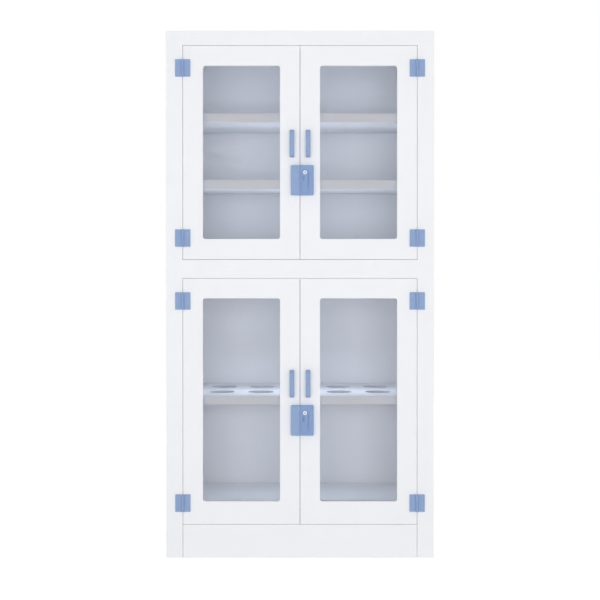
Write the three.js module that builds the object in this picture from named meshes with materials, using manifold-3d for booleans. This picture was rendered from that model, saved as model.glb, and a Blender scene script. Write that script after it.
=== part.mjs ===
// Free-standing white sheet-plastic cabinet with two pairs of glazed doors, blue surface hinges, bow handles
// and key locks. Millimetres, +Z up, the doors face -Y. The origin lies on the floor, midway between the sides
// and midway between the handles' front and the back.
import * as THREE from 'three';
import { mergeVertices } from 'three/addons/utils/BufferGeometryUtils.js';
import Module from 'manifold-3d';

const wasm = await Module();
wasm.setup();

// Carcass
const cabinetWidth = 900;
const cabinetDepth = 450;
const stileWidth = 55.5;
const plinthHeight = 112;
const lowerOpeningHeight = 829;
const middleRailHeight = 61;
const upperOpeningHeight = 720;
const topRailHeight = 48;
const sheetThickness = 8;
const plinthJoint = 0.3;
const bottomDeckHeight = 170;

// Doors
const doorGap = 2.5;
const doorStopGap = 1;
const doorFrameWidth = 66;
const upperDoorBottomRail = 67.5;
const lowerDoorBottomRail = 76;
const windowRadius = 8;
const glazingFlange = 8;
const glassThickness = 5;
const glazingFrameThickness = 7;
const rebateWidth = 12;
const glassEdgeClearance = 1;
const glazingFrameClearance = 0.3;

// Hinges
const hingeWidth = 51;
const hingeHeight = 58;
const hingeLeafThickness = 5;
const barrelDiameter = 10;
const barrelStandOff = 1;
const hingePinDiameter = 5;
const hingePinClearance = 0.15;
const knuckleGap = 0.4;
const barrelClearance = 0.6;
const hingeTopInset = 74.5;
const hingeBottomInset = 70.5;

// Handles
const handleLength = 91.5;
const handleWidth = 15.5;
const handleProjection = 30;
const handleBar = 9;
const handleCornerRadius = 14;
const handleEndRadius = 6;
const handleEdgeInset = 25.75;
const upperHandleHeight = 386.5;
const lowerHandleHeight = 472.5;

// Locks
const lockHeight = 100.5;
const lockCaseWidth = 44.5;
const lockKeeperWidth = 29.5;
const lockBodyDepth = 20;
const lockCornerRadius = 4;
const lockDrop = 122.7;
const lockBossWidth = 18;
const lockBossLength = 66;
const lockBossDepth = 2;
const lockNotchWidth = 6;
const lockNotchHeight = 12;
const lockNotchDepth = 4;
const lockNotchDrop = 14;
const lockCylinderDiameter = 13;
const lockCylinderClearance = 0.15;
const lockCylinderEdgeInset = 15.5;
const lockCylinderRise = 26;
const lockCylinderProud = 0.8;
const keySlotWidth = 1.8;
const keySlotHeight = 7;
const keySlotDepth = 4;
const lockBackWall = 4;
const boltThickness = 7;
const boltHeight = 15;
const boltLength = 30;
const boltTravel = 12;
const boltClearance = 0.4;
const boltSetBack = 0.5;
const mortiseClearance = 1;

// Shelves
const shelfSetBack = 40;
const shelfSideClearance = 2;
const shelfBackClearance = 2;
const trayLipHeight = 31.5;
const lowerTrayHeight = 230;
const upperTrayHeight = 455.5;
const apronHeight = 29;
const perforatedShelfHeight = 362.5;
const ledgerWidth = 20;
const ledgerSetBack = 15;
const shelfHoleDiameter = 88.5;
const shelfHolePitch = 136;
const shelfHoleColumns = 5;
const shelfHoleRows = 2;
const shelfHoleRowSpacing = 163;
const shelfFrontRowInset = 122;

// Facets of round forms
const windowCornerSegments = 4;
const smallRoundSegments = 20;
const shelfHoleSegments = 24;
const handleArcSegments = 5;

// Levels and planes that follow from the sizes above
const cabinetHeight = plinthHeight + lowerOpeningHeight + middleRailHeight + upperOpeningHeight + topRailHeight;
const lowerOpening = { bottom: plinthHeight, top: plinthHeight + lowerOpeningHeight };
const upperOpeningBottom = lowerOpening.top + middleRailHeight;
const upperOpening = { bottom: upperOpeningBottom, top: upperOpeningBottom + upperOpeningHeight };
const openingHalf = cabinetWidth / 2 - stileWidth;
const doorThickness = glazingFlange + glassThickness + glazingFrameThickness;
const frameThickness = doorThickness + doorStopGap;
const faceY = (handleProjection - cabinetDepth) / 2;
const doorBackY = faceY + doorThickness;
const frameBackY = faceY + frameThickness;
const backY = faceY + cabinetDepth;
const insideBackY = backY - sheetThickness;
const insideHalf = cabinetWidth / 2 - sheetThickness;
const topPanelBottom = cabinetHeight - sheetThickness;
const middleDeckTop = upperOpening.bottom + sheetThickness;
const doorWidth = openingHalf - doorGap * 1.5;
const doorFreeEdge = doorGap / 2;
const doorCentreX = doorFreeEdge + doorWidth / 2;
const hingeAxisX = openingHalf - doorGap / 2;
const hingeAxisY = faceY - barrelDiameter / 2 - barrelStandOff;
const shelfFrontY = faceY + shelfSetBack;
const shelfBackY = insideBackY - shelfBackClearance;
const shelfWidth = 2 * (insideHalf - shelfSideClearance);

// Finishes
const whitePlastic = { color: 0xf0f1f4, roughness: 0.45, metalness: 0 };
const bluePlastic = { color: 0x8ca4cb, roughness: 0.4, metalness: 0 };
const clearGlass = { color: 0xdfe8ea, roughness: 0.05, metalness: 0, transparent: true, opacity: 0.3 };
const brightMetal = { color: 0xe4e8ec, roughness: 0.25, metalness: 1 };

const cabinet = new THREE.Group();
cabinet.name = 'glass_door_cabinet';

function addPiece(name, geometry, finish) {
  const mesh = new THREE.Mesh(geometry, new THREE.MeshStandardMaterial(finish));
  mesh.name = name;
  cabinet.add(mesh);
}

// A closed geometry as a solid that can be joined and cut
function solidOf(geometry) {
  const bare = geometry.clone();
  bare.deleteAttribute('normal');
  bare.deleteAttribute('uv');
  const merged = mergeVertices(bare);
  const vertProperties = new Float32Array(merged.attributes.position.array);
  const triVerts = new Uint32Array(merged.index.array);
  return new wasm.Manifold(new wasm.Mesh({ numProp: 3, vertProperties, triVerts }));
}

function geometryOf(solid) {
  const mesh = solid.getMesh();
  const geometry = new THREE.BufferGeometry();
  geometry.setAttribute('position', new THREE.BufferAttribute(new Float32Array(mesh.vertProperties), 3));
  geometry.setIndex(new THREE.BufferAttribute(new Uint32Array(mesh.triVerts), 1));
  geometry.computeVertexNormals();
  return geometry;
}

function joined(geometries) {
  return geometries.map(solidOf).reduce((sum, solid) => sum.add(solid));
}

// A block between two corners, each axis given as [low, high] in either order
function block(x, y, z) {
  const size = [x, y, z].map(([a, b]) => Math.abs(b - a));
  const centre = [x, y, z].map(([a, b]) => (a + b) / 2);
  return new THREE.BoxGeometry(...size).translate(...centre);
}

// An outline in the X-Z plane made into a plate between two depths
function frontPlate(shape, frontY, plateBackY, curveSegments = windowCornerSegments) {
  const settings = { depth: plateBackY - frontY, bevelEnabled: false, curveSegments };
  return new THREE.ExtrudeGeometry(shape, settings).rotateX(Math.PI / 2).translate(0, plateBackY, 0);
}

function roundBar(diameter, length, segments = smallRoundSegments) {
  return new THREE.CylinderGeometry(diameter / 2, diameter / 2, length, segments);
}

function polygon(points) {
  return new THREE.Shape(points.map(([x, z]) => new THREE.Vector2(x, z)));
}

// A rectangle with its own radius at each corner: low left, low right, high right, high left
function roundedOutline(x0, z0, x1, z1, radii) {
  const [lowLeft, lowRight, highRight, highLeft] = radii;
  const outline = new THREE.Shape();
  outline.moveTo(x0 + lowLeft, z0);
  outline.lineTo(x1 - lowRight, z0);
  if (lowRight) outline.absarc(x1 - lowRight, z0 + lowRight, lowRight, -Math.PI / 2, 0, false);
  outline.lineTo(x1, z1 - highRight);
  if (highRight) outline.absarc(x1 - highRight, z1 - highRight, highRight, 0, Math.PI / 2, false);
  outline.lineTo(x0 + highLeft, z1);
  if (highLeft) outline.absarc(x0 + highLeft, z1 - highLeft, highLeft, Math.PI / 2, Math.PI, false);
  outline.lineTo(x0, z0 + lowLeft);
  if (lowLeft) outline.absarc(x0 + lowLeft, z0 + lowLeft, lowLeft, Math.PI, Math.PI * 1.5, false);
  return outline;
}

function evenOutline(box, radius) {
  return roundedOutline(box.x0, box.z0, box.x1, box.z1, [radius, radius, radius, radius]);
}

function grown(box, amount) {
  return { x0: box.x0 - amount, z0: box.z0 - amount, x1: box.x1 + amount, z1: box.z1 + amount };
}

// Carcass pieces
function faceFrame() {
  const half = cabinetWidth / 2;
  const outline = polygon([
    [-half, 0],
    [-openingHalf, 0],
    [-openingHalf, lowerOpening.top],
    [openingHalf, lowerOpening.top],
    [openingHalf, 0],
    [half, 0],
    [half, cabinetHeight],
    [-half, cabinetHeight],
  ]);
  outline.holes.push(polygon([
    [-openingHalf, upperOpening.bottom],
    [openingHalf, upperOpening.bottom],
    [openingHalf, upperOpening.top],
    [-openingHalf, upperOpening.top],
  ]));
  return frontPlate(outline, faceY, frameBackY);
}

// The kick panel between the stiles, with the riser behind it that carries the bottom deck's front
function plinthPanel() {
  const half = openingHalf - plinthJoint;
  const riserBackY = frameBackY + sheetThickness;
  const kick = block([-half, half], [faceY, riserBackY], [0, plinthHeight]);
  const riser = block([-half, half], [frameBackY, riserBackY], [0, bottomDeckHeight - sheetThickness]);
  return geometryOf(joined([kick, riser]));
}

// A side sheet with a ledger welded under each shelf
function sidePanel(side) {
  const outer = side * cabinetWidth / 2;
  const inner = side * insideHalf;
  const sheet = block([outer, inner], [frameBackY, backY], [0, topPanelBottom]);
  const undersides = [
    middleDeckTop + upperTrayHeight,
    middleDeckTop + lowerTrayHeight,
    bottomDeckHeight + perforatedShelfHeight,
  ];
  const ledgers = undersides.map((z) => block(
    [outer, inner - side * ledgerWidth],
    [shelfFrontY + ledgerSetBack, insideBackY - shelfBackClearance],
    [z - sheetThickness, z],
  ));
  return geometryOf(joined([sheet, ...ledgers]));
}

function deck(top) {
  return block([-insideHalf, insideHalf], [frameBackY, insideBackY], [top - sheetThickness, top]);
}

addPiece('face_frame', faceFrame(), whitePlastic);
addPiece('plinth_panel', plinthPanel(), whitePlastic);
addPiece('left_side', sidePanel(-1), whitePlastic);
addPiece('right_side', sidePanel(1), whitePlastic);
addPiece('back_panel', block([-insideHalf, insideHalf], [insideBackY, backY], [0, topPanelBottom]), whitePlastic);
addPiece('top_panel', block(
  [-cabinetWidth / 2, cabinetWidth / 2],
  [frameBackY, backY],
  [topPanelBottom, cabinetHeight],
), whitePlastic);
addPiece('middle_deck', deck(middleDeckTop), whitePlastic);
addPiece('bottom_deck', deck(bottomDeckHeight), whitePlastic);

// Shelves
function shelfPlate(underside) {
  return block(
    [-shelfWidth / 2, shelfWidth / 2],
    [shelfFrontY, shelfBackY],
    [underside, underside + sheetThickness],
  );
}

function shelfFront(bottom, top) {
  return block([-shelfWidth / 2, shelfWidth / 2], [shelfFrontY, shelfFrontY + sheetThickness], [bottom, top]);
}

function tray(underside) {
  return geometryOf(joined([shelfPlate(underside), shelfFront(underside, underside + trayLipHeight)]));
}

function perforatedShelf(underside) {
  const top = underside + sheetThickness;
  let shelf = joined([shelfPlate(underside), shelfFront(top - apronHeight, top)]);
  for (let row = 0; row < shelfHoleRows; row += 1) {
    for (let column = 0; column < shelfHoleColumns; column += 1) {
      const x = (column - (shelfHoleColumns - 1) / 2) * shelfHolePitch;
      const y = shelfFrontY + shelfFrontRowInset + row * shelfHoleRowSpacing;
      const drill = roundBar(shelfHoleDiameter, 3 * sheetThickness, shelfHoleSegments);
      drill.rotateX(Math.PI / 2).translate(x, y, underside + sheetThickness / 2);
      shelf = shelf.subtract(solidOf(drill));
    }
  }
  return geometryOf(shelf);
}

addPiece('upper_tray', tray(middleDeckTop + upperTrayHeight), whitePlastic);
addPiece('lower_tray', tray(middleDeckTop + lowerTrayHeight), whitePlastic);
addPiece('perforated_shelf', perforatedShelf(bottomDeckHeight + perforatedShelfHeight), whitePlastic);

// Doors
function doorPanel(door, window) {
  const rebate = grown(window, rebateWidth);
  const front = polygon([[door.x0, door.z0], [door.x1, door.z0], [door.x1, door.z1], [door.x0, door.z1]]);
  const rear = front.clone();
  front.holes.push(evenOutline(window, windowRadius));
  rear.holes.push(evenOutline(rebate, windowRadius));
  const rebateY = faceY + glazingFlange;
  return geometryOf(joined([frontPlate(front, faceY, rebateY), frontPlate(rear, rebateY, doorBackY)]));
}

function glassPane(window) {
  const pane = grown(window, rebateWidth - glassEdgeClearance);
  const paneFrontY = faceY + glazingFlange;
  return frontPlate(evenOutline(pane, windowRadius), paneFrontY, paneFrontY + glassThickness);
}

function glazingFrame(window) {
  const ring = evenOutline(grown(window, rebateWidth - glazingFrameClearance), windowRadius);
  ring.holes.push(evenOutline(window, windowRadius));
  return frontPlate(ring, doorBackY - glazingFrameThickness, doorBackY);
}

// A bow handle: its side view, a bent bar standing on two feet, cut to the rounded ends of its front view
function bowHandle(centreX, centreZ) {
  const reach = handleProjection;
  const outer = handleCornerRadius;
  const inner = Math.max(handleCornerRadius - handleBar, 1);
  const low = -handleLength / 2;
  const high = handleLength / 2;
  const bow = new THREE.Shape();
  bow.moveTo(0, low);
  bow.lineTo(0, low + handleBar);
  bow.lineTo(inner + handleBar - reach, low + handleBar);
  bow.absarc(inner + handleBar - reach, low + handleBar + inner, inner, -Math.PI / 2, -Math.PI, true);
  bow.lineTo(handleBar - reach, high - handleBar - inner);
  bow.absarc(inner + handleBar - reach, high - handleBar - inner, inner, Math.PI, Math.PI / 2, true);
  bow.lineTo(0, high - handleBar);
  bow.lineTo(0, high);
  bow.lineTo(outer - reach, high);
  bow.absarc(outer - reach, high - outer, outer, Math.PI / 2, Math.PI, false);
  bow.lineTo(-reach, low + outer);
  bow.absarc(outer - reach, low + outer, outer, Math.PI, Math.PI * 1.5, false);
  const settings = { depth: handleWidth, bevelEnabled: false, curveSegments: handleArcSegments };
  const toSideView = new THREE.Matrix4().makeBasis(
    new THREE.Vector3(0, 1, 0),
    new THREE.Vector3(0, 0, 1),
    new THREE.Vector3(1, 0, 0),
  );
  const bar = new THREE.ExtrudeGeometry(bow, settings).applyMatrix4(toSideView);
  bar.translate(-handleWidth / 2, 0, 0);
  const frontView = { x0: -handleWidth / 2, z0: low, x1: handleWidth / 2, z1: high };
  const ends = frontPlate(evenOutline(frontView, handleEndRadius), -reach, 0);
  return geometryOf(solidOf(bar).intersect(solidOf(ends))).translate(centreX, faceY, centreZ);
}

// Hinge leaves are drawn about the pin's axis. The plate lies on the face, and each knuckle has a web to it.
const axisToFace = faceY - hingeAxisY;

function knuckleSpans() {
  const knuckleHeight = (hingeHeight - 2 * knuckleGap) / 3;
  const step = knuckleHeight + knuckleGap;
  return [0, 1, 2].map((index) => {
    const low = -hingeHeight / 2 + index * step;
    return [low, low + knuckleHeight];
  });
}

function hingeLeaf(direction, spans) {
  const plateStart = barrelDiameter / 2 + barrelClearance;
  const plateY = [axisToFace - hingeLeafThickness, axisToFace];
  const halfHeight = hingeHeight / 2;
  const forms = [block([direction * plateStart, direction * hingeWidth / 2], plateY, [-halfHeight, halfHeight])];
  for (const span of spans) {
    const height = span[1] - span[0];
    const middle = (span[0] + span[1]) / 2;
    forms.push(roundBar(barrelDiameter, height).rotateX(Math.PI / 2).translate(0, 0, middle));
    const webY = [axisToFace - hingeLeafThickness, axisToFace - barrelStandOff];
    forms.push(block([0, direction * (plateStart + barrelClearance)], webY, span));
  }
  const bore = roundBar(hingePinDiameter + 2 * hingePinClearance, 2 * hingeHeight).rotateX(Math.PI / 2);
  return geometryOf(joined(forms).subtract(solidOf(bore)));
}

function hingePin() {
  return roundBar(hingePinDiameter, hingeHeight).rotateX(Math.PI / 2);
}

// Locks: the case on the right door, the keeper on the left one, the key plug and the bolt it draws across
const lockFrontY = faceY - lockBodyDepth;
const bossFrontY = lockFrontY - lockBossDepth;
const boltY = [faceY - lockBackWall - boltClearance - boltThickness, faceY - lockBackWall - boltClearance];
const cylinderX = doorFreeEdge + lockCylinderEdgeInset;

function spread([low, high], amount) {
  return [low - amount, high + amount];
}

function lockCase(lockZ) {
  const corners = [0, lockCornerRadius, lockCornerRadius, 0];
  const low = lockZ - lockHeight / 2;
  const high = lockZ + lockHeight / 2;
  const cylinderZ = lockZ + lockCylinderRise;
  const bossX = [cylinderX - lockBossWidth / 2, cylinderX + lockBossWidth / 2];
  const body = roundedOutline(doorFreeEdge, low, doorFreeEdge + lockCaseWidth, high, corners);
  const bossRound = lockBossWidth / 2;
  const boss = roundedOutline(bossX[0], cylinderZ - lockBossLength, bossX[1], cylinderZ + bossRound,
    [0, 0, bossRound, bossRound]);
  const notchTop = cylinderZ - lockNotchDrop;
  const notch = block(
    [bossX[0], bossX[0] + lockNotchWidth],
    [bossFrontY - lockBossDepth, bossFrontY + lockNotchDepth],
    [notchTop - lockNotchHeight, notchTop],
  );
  const channel = block(
    [doorFreeEdge - boltTravel, doorFreeEdge + boltSetBack + boltLength + boltClearance],
    spread(boltY, boltClearance),
    spread([cylinderZ - boltHeight / 2, cylinderZ + boltHeight / 2], boltClearance),
  );
  const boreLength = boltY[0] - bossFrontY + lockBossDepth;
  const bore = roundBar(lockCylinderDiameter + 2 * lockCylinderClearance, boreLength);
  bore.translate(cylinderX, bossFrontY - lockBossDepth + boreLength / 2, cylinderZ);
  const shell = joined([
    frontPlate(body, lockFrontY, faceY),
    frontPlate(boss, bossFrontY, faceY - lockBackWall, smallRoundSegments / 2),
  ]);
  return geometryOf(shell.subtract(joined([channel, bore])).subtract(solidOf(notch)));
}

function lockKeeper(lockZ) {
  const corners = [lockCornerRadius, 0, 0, lockCornerRadius];
  const low = lockZ - lockHeight / 2;
  const high = lockZ + lockHeight / 2;
  const cylinderZ = lockZ + lockCylinderRise;
  const body = roundedOutline(-doorFreeEdge - lockKeeperWidth, low, -doorFreeEdge, high, corners);
  const mortise = block(
    [-doorFreeEdge - boltTravel - mortiseClearance, 0],
    spread(boltY, mortiseClearance),
    spread([cylinderZ - boltHeight / 2, cylinderZ + boltHeight / 2], mortiseClearance),
  );
  return geometryOf(solidOf(frontPlate(body, lockFrontY, faceY)).subtract(solidOf(mortise)));
}

function lockCylinder(lockZ) {
  const length = boltY[0] - boltClearance - bossFrontY + lockCylinderProud;
  const frontY = bossFrontY - lockCylinderProud;
  const plug = roundBar(lockCylinderDiameter, length).translate(0, frontY + length / 2, 0);
  const slot = block(
    [-keySlotWidth / 2, keySlotWidth / 2],
    [frontY - keySlotDepth, frontY + keySlotDepth],
    [-keySlotHeight / 2, keySlotHeight / 2],
  );
  const cut = solidOf(plug).subtract(solidOf(slot));
  return geometryOf(cut).translate(cylinderX, 0, lockZ + lockCylinderRise);
}

function lockBolt(lockZ) {
  const nose = doorFreeEdge + boltSetBack;
  const middle = lockZ + lockCylinderRise;
  return block([nose, nose + boltLength], boltY, [middle - boltHeight / 2, middle + boltHeight / 2]);
}

// The four doors, each with its pane, handle and hinges
const levels = [
  { name: 'upper', opening: upperOpening, bottomRail: upperDoorBottomRail, handleHeight: upperHandleHeight },
  { name: 'lower', opening: lowerOpening, bottomRail: lowerDoorBottomRail, handleHeight: lowerHandleHeight },
];
const sides = [
  { name: 'left', sign: -1 },
  { name: 'right', sign: 1 },
];

for (const level of levels) {
  const doorBottom = level.opening.bottom + doorGap;
  const doorTop = level.opening.top - doorGap;
  const handleZ = doorBottom + level.handleHeight;
  const lockZ = handleZ - lockDrop;
  for (const side of sides) {
    const centreX = side.sign * doorCentreX;
    const door = { x0: centreX - doorWidth / 2, z0: doorBottom, x1: centreX + doorWidth / 2, z1: doorTop };
    const window = {
      x0: door.x0 + doorFrameWidth,
      z0: door.z0 + level.bottomRail,
      x1: door.x1 - doorFrameWidth,
      z1: door.z1 - doorFrameWidth,
    };
    const prefix = `${level.name}_${side.name}`;
    const handleX = side.sign * (doorFreeEdge + handleEdgeInset);
    addPiece(`${prefix}_door_panel`, doorPanel(door, window), whitePlastic);
    addPiece(`${prefix}_glass_pane`, glassPane(window), clearGlass);
    addPiece(`${prefix}_glazing_frame`, glazingFrame(window), whitePlastic);
    addPiece(`${prefix}_handle`, bowHandle(handleX, handleZ), bluePlastic);

    const hingePlaces = [
      { name: 'top', z: doorTop - hingeTopInset },
      { name: 'bottom', z: doorBottom + hingeBottomInset },
    ];
    const [lowKnuckle, middleKnuckle, highKnuckle] = knuckleSpans();
    for (const place of hingePlaces) {
      const hinge = `${prefix}_${place.name}_hinge`;
      const axis = [side.sign * hingeAxisX, hingeAxisY, place.z];
      const frameLeaf = hingeLeaf(side.sign, [lowKnuckle, highKnuckle]);
      const doorLeaf = hingeLeaf(-side.sign, [middleKnuckle]);
      addPiece(`${hinge}_frame_leaf`, frameLeaf.translate(...axis), bluePlastic);
      addPiece(`${hinge}_door_leaf`, doorLeaf.translate(...axis), bluePlastic);
      addPiece(`${hinge}_pin`, hingePin().translate(...axis), bluePlastic);
    }
  }
  addPiece(`${level.name}_lock_case`, lockCase(lockZ), bluePlastic);
  addPiece(`${level.name}_lock_keeper`, lockKeeper(lockZ), bluePlastic);
  addPiece(`${level.name}_lock_cylinder`, lockCylinder(lockZ), brightMetal);
  addPiece(`${level.name}_lock_bolt`, lockBolt(lockZ), brightMetal);
}

export default cabinet;
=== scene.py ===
"""Looks of a free-standing white sheet-plastic cabinet with two pairs of glazed doors, blue surface hinges,
bow handles and key locks. Metres, +Z up, the doors face -Y."""
import math

import bmesh
import bpy
from bpy.props import FloatProperty, FloatVectorProperty, IntProperty, PointerProperty
from mathutils import Matrix, Vector


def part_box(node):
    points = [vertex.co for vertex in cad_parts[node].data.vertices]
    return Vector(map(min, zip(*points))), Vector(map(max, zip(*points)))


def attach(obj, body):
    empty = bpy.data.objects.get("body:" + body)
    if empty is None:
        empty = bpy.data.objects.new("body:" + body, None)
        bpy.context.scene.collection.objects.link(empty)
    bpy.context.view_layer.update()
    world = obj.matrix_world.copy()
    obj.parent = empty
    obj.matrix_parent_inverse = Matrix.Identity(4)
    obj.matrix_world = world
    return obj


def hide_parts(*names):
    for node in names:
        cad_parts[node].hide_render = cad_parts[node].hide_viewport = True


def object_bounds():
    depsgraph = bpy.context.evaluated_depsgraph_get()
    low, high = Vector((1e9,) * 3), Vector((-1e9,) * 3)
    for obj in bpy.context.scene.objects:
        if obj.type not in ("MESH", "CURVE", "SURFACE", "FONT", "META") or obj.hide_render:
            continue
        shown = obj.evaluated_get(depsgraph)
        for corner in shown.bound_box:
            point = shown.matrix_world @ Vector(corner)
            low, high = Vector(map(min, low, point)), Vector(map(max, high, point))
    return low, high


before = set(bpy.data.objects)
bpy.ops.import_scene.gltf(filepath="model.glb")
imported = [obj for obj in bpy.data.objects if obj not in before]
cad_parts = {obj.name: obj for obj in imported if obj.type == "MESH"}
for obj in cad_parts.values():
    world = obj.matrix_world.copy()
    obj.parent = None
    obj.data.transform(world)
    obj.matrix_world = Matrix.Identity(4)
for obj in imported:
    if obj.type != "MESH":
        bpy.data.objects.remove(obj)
cad_low, cad_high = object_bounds()

bl_info = {
    "name": "Glass Door Cabinet",
    "version": (1, 0, 0),
    "blender": (4, 5, 0),
    "location": "3D View > Sidebar > Cabinet",
    "description": "Builds a white sheet-plastic cabinet with glazed doors, hardware and shelves",
    "category": "Object",
}

MM = 0.001
LEVELS = ("upper", "lower")
SIDES = {"left": -1, "right": 1}
DOORS = [f"{level}_{side}" for level in LEVELS for side in SIDES]

# Corners closer than this are joined
MERGE_WITHIN = 0.002 * MM
# Corners closer than this to a cutting plane lie on it
CUT_WITHIN = 0.001 * MM
# Corners this close to a sheet's front, to a leaf's outline or to a lock's wall belong to it
FRONT_WITHIN = MM
RIM_WITHIN = MM / 10
WALL_WITHIN = MM / 100
# What the two arcs at the head of a lock's strip stop short of meeting by
ARC_SHORT = MM / 100
# Degrees past which an edge is sharp, is square, and is shaded as an edge
SHARP = 30
SQUARE = 60
SHADED = 40
# A face points up where its normal's rise is over the first, and is a wall where it is under the second
POINTS_UP = 0.9
STEEP = 0.5
# Sides of the round outlines and steps of the round bends
HOLE_SIDES = 48
PLUG_SIDES = 40
PIN_SIDES = 28
BORE_SIDES = 24
BARREL_STEPS = 28
BEND_STEPS = 10
# A key slot's corner radius, as a share of its width
SLOT_ROUND = 0.45
# Refractive indices of the plastic and the glass
PLASTIC_IOR = 1.49
GLASS_IOR = 1.52
# The span that most of a noise pattern lies in, and the length of one wave of a wave pattern
NOISE_LOW = 0.3
NOISE_HIGH = 0.7
WAVE_LENGTH = math.pi / 10
# The studio's plain light, half the side of its floor in metres, and its camera's film in millimetres
PLAIN_WHITE = (1, 1, 1, 1)
FLOOR_REACH = 30
FILM_WIDTH = 36


def linear(hex_code):
    """An sRGB hex colour as linear red, green and blue."""
    shares = [int(hex_code[place:place + 2], 16) / 255 for place in (0, 2, 4)]
    return tuple(s / 12.92 if s <= 0.04045 else ((s + 0.055) / 1.055) ** 2.4 for s in shares)


def length(name, description, millimetres):
    """A size that shows as a distance."""
    return FloatProperty(name=name, description=description, default=millimetres * MM, min=0, precision=4,
                         subtype="DISTANCE", unit="LENGTH")


def watts(name, description, power):
    """A lamp's power."""
    return FloatProperty(name=name, description=description, default=power, min=0, subtype="POWER",
                         unit="POWER")


def colour(name, description, hex_code):
    """A finish's colour."""
    return FloatVectorProperty(name=name, description=description, default=linear(hex_code), min=0, max=1,
                               size=3, subtype="COLOR")


class CabinetSizes(bpy.types.PropertyGroup):
    """Sizes of the sheets, shelves, doors and panes"""
    sheet: length("Sheet", "Thickness of the sheet that the carcass and shelves are welded from", 8)
    sheet_edge: length("Sheet edge", "Radius that the sheets' cut edges are scraped to", 0.8)
    door_gap: length("Door gap", "Gap that shows between the doors and the front frame", 1.15)
    meeting_gap: length("Meeting gap", "Gap that shows between two meeting doors", 1.7)
    bead_width: length("Bead width", "Width of the flat bead behind each door's meeting edge", 13)
    bead: length("Bead", "Thickness of that bead", 2.5)
    bead_gap: length("Bead gap", "Gap between the beads of two meeting doors", 0.1)
    bead_end: length("Bead end", "How far that bead stops short of the deck and of the door's top", 4)
    ledger_back: length("Ledger set-back", "From a shelf's front to the front of its ledgers", 15)
    kick_seam: length("Kick panel seam", "Seam that shows between the kick panel and the stiles", 0.8)
    kick_edge: length("Kick panel edge", "Radius along the kick panel's seams with the stiles", 1.6)
    tray_bend: length("Tray bend", "Outer radius where a tray's front is bent up", 3)
    hole: length("Shelf hole", "Diameter of the holes in the drilled shelf", 88.5)
    hole_pitch: length("Hole pitch", "Distance between two holes of a row", 136)
    hole_columns: IntProperty(name="Holes in a row", description="Holes across the drilled shelf", default=5,
                              min=1)
    hole_rows: IntProperty(name="Rows of holes", description="Rows from the front to the back", default=2,
                           min=1)
    hole_row_spacing: length("Row spacing", "Distance between two rows of holes", 163)
    hole_front: length("Front row", "Distance from the shelf's front to its first row of holes", 122)
    door_edge: length("Door edge", "Radius of the doors' outer edges", 0.8)
    pane_overlap: length("Pane overlap", "How far a pane runs behind the edge of its window", 11)
    window_radius: length("Window corner", "Radius of a window's corners", 8)
    window_edge: length("Window edge", "Radius along the front of a window's edge", 1)
    pane_edge: length("Pane edge", "Radius that a pane's edges are ground to", 0.4)
    rebate: length("Rebate", "Width of the rebate behind a window's edge", 12)


class HardwareSizes(bpy.types.PropertyGroup):
    """Sizes of the hinges, handles and locks"""
    leaf: length("Hinge leaf", "Thickness of a hinge's leaves", 5)
    leaf_corner: length("Leaf corner", "Radius of a leaf's outer corners", 1.6)
    leaf_edge: length("Leaf edge", "Radius along the edges of a leaf, a lock's strip and a key plug", 0.7)
    barrel_gap: length("Barrel gap", "Gap between a barrel and the other leaf", 0.4)
    knuckle_gap: length("Knuckle gap", "Gap between two knuckles", 0.4)
    web_lift: length("Web lift", "Height of a knuckle's web over the face it swings on", 1)
    pin_fit: length("Pin fit", "Clearance round a hinge pin or a key plug", 0.15)
    pin_round: length("Pin rounding", "Radius of a hinge pin's ends", 1.2)
    handle_bar: length("Handle bar", "Thickness of a handle's bar", 9)
    handle_bend: length("Handle bend", "Outer radius of a handle's bends", 14)
    handle_round: length("Handle rounding", "Radius of the bar's own edges", 3.4)
    lock_corner: length("Lock corner", "Radius of a lock's outer corners", 4)
    lock_edge: length("Lock edge", "Radius along a lock's front", 0.9)
    lock_square: length("Lock square", "Radius of the corners where the case meets the keeper", 0.4)
    boss: length("Boss", "Height of the raised strip on a lock's case", 2)
    boss_width: length("Boss width", "Width of that strip", 18)
    boss_length: length("Boss length", "From the key plug's middle to the foot of that strip", 66)
    lock_gap: length("Lock gap", "Gap that shows between a lock's case and its keeper", 0.8)
    groove_width: length("Groove width", "Width of the groove beside that strip", 2.4)
    groove_depth: length("Groove depth", "Depth of that groove", 3)
    groove_length: length("Groove length", "From the key plug's middle to the foot of that groove", 54)
    notch_width: length("Notch width", "Width of the sunk notch in that strip", 6)
    notch_height: length("Notch height", "Height of that notch", 13)
    notch_depth: length("Notch depth", "Depth of that notch", 5)
    notch_drop: length("Notch drop", "From the key plug's middle down to that notch", 14)
    notch_side: length("Notch side", "From that strip's edge to that notch", 1)
    mortise: length("Mortise", "Depth of the keeper's mortise for the bolt", 13.8)
    mortise_fit: length("Mortise fit", "Clearance round the bolt in the keeper", 1)
    bolt_fit: length("Bolt fit", "Clearance round the bolt in the case", 0.4)
    bolt_edge: length("Bolt edge", "Radius of the bolt's edges", 1)
    bore_wall: length("Bore wall", "Wall between the key plug's bore and the bolt", 1)
    plug_back: length("Plug back", "What the key plug's back is cut down by", 1.2)
    slot_width: length("Key slot width", "Width of the key slot", 3)
    slot_height: length("Key slot height", "Height of the key slot", 6.5)
    slot_depth: length("Key slot depth", "Depth of the key slot", 2)
    ward: length("Ward", "Thickness of the wards at the foot of the key slot", 1)


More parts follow.
